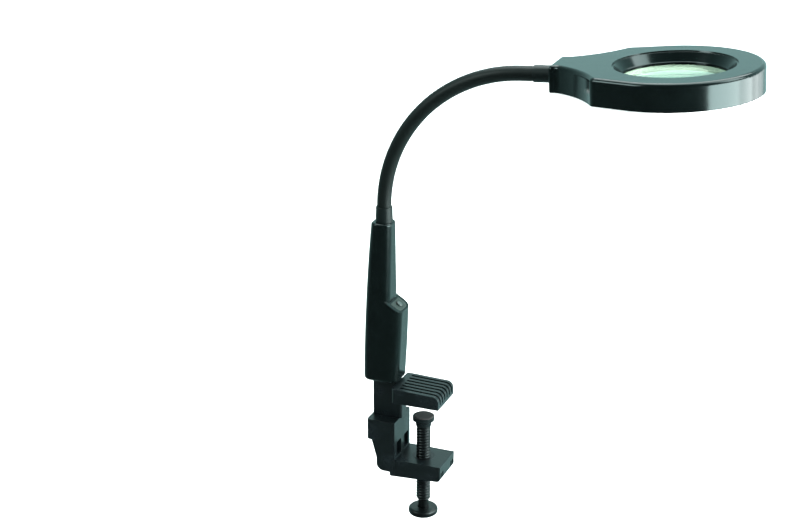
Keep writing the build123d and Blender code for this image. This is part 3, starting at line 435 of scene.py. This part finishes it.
def sleeve_length(k):
    """The sleeve from the middle of one link to the middle of the next, over joint k."""
    first = STEP * k
    begin()
    bpy.ops.mesh.primitive_circle_add(vertices=SIDES, radius=NECK_R, fill_type="NGON",
                                      location=on_bend(first), rotation=(0, first, 0))
    bpy.ops.object.transform_apply(location=True, rotation=True, scale=True)
    bpy.ops.object.mode_set(mode="EDIT")
    bpy.ops.mesh.select_all(action="SELECT")
    bpy.ops.mesh.spin(steps=RINGS_PER_JOINT, angle=STEP, center=BEND_CENTRE, axis=(0, -1, 0))
    close_mesh()
    if k == JOINT_COUNT - 1:
        pick(lambda middle, normal: (middle - BEND_END).length < 0.1 * MM)
        bpy.ops.mesh.extrude_region_move(TRANSFORM_OT_translate={"value": STRAIGHT_RUN * HEAD_X})
        close_mesh()
    return settle(f"sleeve_{k + 1}", "sleeve_black")


def gooseneck():
    """One sleeve piece over each joint, in place of the CAD sleeve links, which are hidden."""
    for k in range(JOINT_COUNT):
        length = sleeve_length(k)
        covered = [f"neck_sleeve_{k}"]
        if k == JOINT_COUNT - 1:
            covered.append(f"neck_sleeve_{JOINT_COUNT}")
        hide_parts(*covered)
        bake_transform(length)


gooseneck()

# ---------------------------------------------------------------- clamp screw
SCREW_LOW, SCREW_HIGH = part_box("clamp_screw")
SCREW_R = SCREW_HIGH.x
THREAD_PITCH = 3.0 * MM
THREAD_DEEP = 0.8 * MM
TIP_R = 3.4 * MM
TIP_H = 5.0 * MM
SCREW_NECK_R = 5.5 * MM
NECK_TAPER = 1.6 * MM                            # height over which the thread narrows to the neck
THREAD_ABOVE_KNOB = 9.9 * MM
THREAD_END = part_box("knob")[1].z + THREAD_ABOVE_KNOB
THREAD_TOP = SCREW_HIGH.z - TIP_H


def thread_turns():
    """One pitch of rounded thread, wound up the screw's axis, its faces not yet closed."""
    low = THREAD_TOP + 0.3 * THREAD_PITCH
    root, crest = SCREW_R - THREAD_DEEP, SCREW_R
    shape = [(root, 0.0), (root, 0.18), (crest - 0.15 * MM, 0.42), (crest, 0.50), (crest, 0.66),
             (crest - 0.15 * MM, 0.74), (root, 0.98), (root, 1.0)]
    mesh = bpy.data.meshes.new("thread")
    points = [(radius, 0, low + part * THREAD_PITCH) for radius, part in shape]
    mesh.from_pydata(points, [(i, i + 1) for i in range(len(points) - 1)], [])
    piece = bpy.data.objects.new("thread", mesh)
    bpy.context.scene.collection.objects.link(piece)
    begin()
    piece.select_set(True)
    bpy.context.view_layer.objects.active = piece
    bpy.ops.object.mode_set(mode="EDIT")
    bpy.ops.mesh.select_all(action="SELECT")
    turns = math.ceil((THREAD_TOP - THREAD_END) / THREAD_PITCH) + 2
    bpy.ops.mesh.screw(steps=28, turns=turns, center=(0, 0, 0), axis=(0, 0, -1))
    bpy.ops.mesh.select_all(action="SELECT")
    bpy.ops.mesh.remove_doubles(threshold=0.005 * MM)


def clamp_thread():
    """Threaded spindle with its plain tip in the foot and its neck down to the knob."""
    thread_turns()
    for height, side in ((THREAD_END, -1), (THREAD_TOP, 1)):
        bpy.ops.mesh.select_all(action="SELECT")
        bpy.ops.mesh.bisect(plane_co=(0, 0, height), plane_no=(0, 0, side), use_fill=True,
                            clear_outer=True, threshold=0.0001 * MM)
    close_mesh()
    pick(lambda middle, normal: normal.z < -0.9 and abs(middle.z - THREAD_END) < 0.05 * MM)
    bpy.ops.mesh.extrude_region_move(TRANSFORM_OT_translate={"value": (0, 0, -NECK_TAPER)})
    grow = SCREW_NECK_R / SCREW_R
    bpy.ops.transform.resize(value=(grow, grow, 1), center_override=(0, 0, 0))
    neck_run = SCREW_LOW.z - THREAD_END + NECK_TAPER
    bpy.ops.mesh.extrude_region_move(TRANSFORM_OT_translate={"value": (0, 0, neck_run)})
    pick(lambda middle, normal: normal.z > 0.9 and abs(middle.z - THREAD_TOP) < 0.05 * MM)
    grow = TIP_R / SCREW_R
    bpy.ops.mesh.extrude_region_move(TRANSFORM_OT_translate={"value": (0, 0, 0)})
    bpy.ops.transform.resize(value=(grow, grow, 1), center_override=(0, 0, 0))
    bpy.ops.mesh.extrude_region_move(TRANSFORM_OT_translate={"value": (0, 0, TIP_H)})
    close_mesh()
    piece = settle("clamp_thread", "screw_black", 40.0)
    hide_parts("clamp_screw")
    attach(piece, "screw")


clamp_thread()


# ---------------------------------------------------------------- stage and light
FOOT_SLIDE = next(j for j in frame["record"]["behaviour"]["joints"] if j["name"] == "foot_slide")
FLOOR_Z = cad_box[0][2] + FOOT_SLIDE["range_m"][0] - 4 * MM


def pale_floor():
    """Wide pale ground, low enough for the knob when the screw is wound right down."""
    f = Finish("floor_pale")
    cloud = f.noise(0.8, 3.0)
    colour = f.mix(cloud, (0.86, 0.87, 0.87, 1), (0.90, 0.90, 0.90, 1))
    material = f.surface(Base_Color=colour, Roughness=0.75)
    begin()
    bpy.ops.mesh.primitive_plane_add(size=30.0, location=(0, 0, FLOOR_Z))
    floor = bpy.context.object
    floor.name = "floor"
    floor.data.materials.append(material)
    floor.visible_glossy = False


def soft_light(name, place, target, size, watts, shape=(1.0, 1.0)):
    """A rectangular soft box at place that faces target and isn't seen itself."""
    data = bpy.data.lights.new(name, "AREA")
    data.shape = "RECTANGLE"
    data.size = size * shape[0]
    data.size_y = size * shape[1]
    data.energy = watts
    lamp = bpy.data.objects.new(name, data)
    lamp.location = place
    lamp.visible_camera = False
    lamp.rotation_euler = (Vector(target) - Vector(place)).to_track_quat("-Z", "Y").to_euler()
    bpy.context.scene.collection.objects.link(lamp)


def surroundings():
    """A room that is bright and slightly green behind the lamp and dimmer in front of it."""
    world = bpy.data.worlds.new("studio")
    world.use_nodes = True
    nodes, links = world.node_tree.nodes, world.node_tree.links
    place = nodes.new("ShaderNodeTexCoord")
    parts = nodes.new("ShaderNodeSeparateXYZ")
    shift = nodes.new("ShaderNodeMapRange")
    shift.inputs["From Min"].default_value = -0.7
    shift.inputs["From Max"].default_value = 0.8
    ramp = nodes.new("ShaderNodeValToRGB")
    ramp.color_ramp.elements[0].color = (0.12, 0.14, 0.14, 1)
    ramp.color_ramp.elements[1].color = (0.60, 1.02, 1.00, 1)
    links.new(place.outputs["Generated"], parts.inputs[0])
    links.new(parts.outputs["Y"], shift.inputs["Value"])
    links.new(shift.outputs[0], ramp.inputs["Fac"])
    links.new(ramp.outputs["Color"], nodes["Background"].inputs["Color"])
    bpy.context.scene.world = world


# middle along Y, length and power of each box in the low row on the right, dimmer towards the back
ROW_X, ROW_Z, ROW_HEIGHT = 1.05, 0.17, 0.55
RIGHT_ROW = ((-0.25, 0.7, 25.0), (0.3, 0.4, 9.5), (0.7, 0.4, 4.5), (1.1, 0.4, 2.2), (1.6, 0.6, 1.6))


def studio():
    """A low row of boxes on the right, one box overhead and a small one on the left."""
    surroundings()
    for number, (middle, long, watts) in enumerate(RIGHT_ROW):
        soft_light(f"right_box_{number + 1}", (ROW_X, middle, ROW_Z), (0, middle, ROW_Z), long, watts,
                   (1.0, ROW_HEIGHT / long))
    soft_light("high_right_box", (1.9, 0.3, 1.7), (0.2, 0, 0.3), 1.1, 40)
    soft_light("overhead_box", (0.2, 1.4, 2.6), (0.2, 1.5, 0), 3.2, 210)
    soft_light("left_box", (-1.5, -1.4, 1.5), (0.1, 0, 0.3), 0.9, 30)
    bpy.context.scene.view_settings.view_transform = "Standard"


pale_floor()
studio()
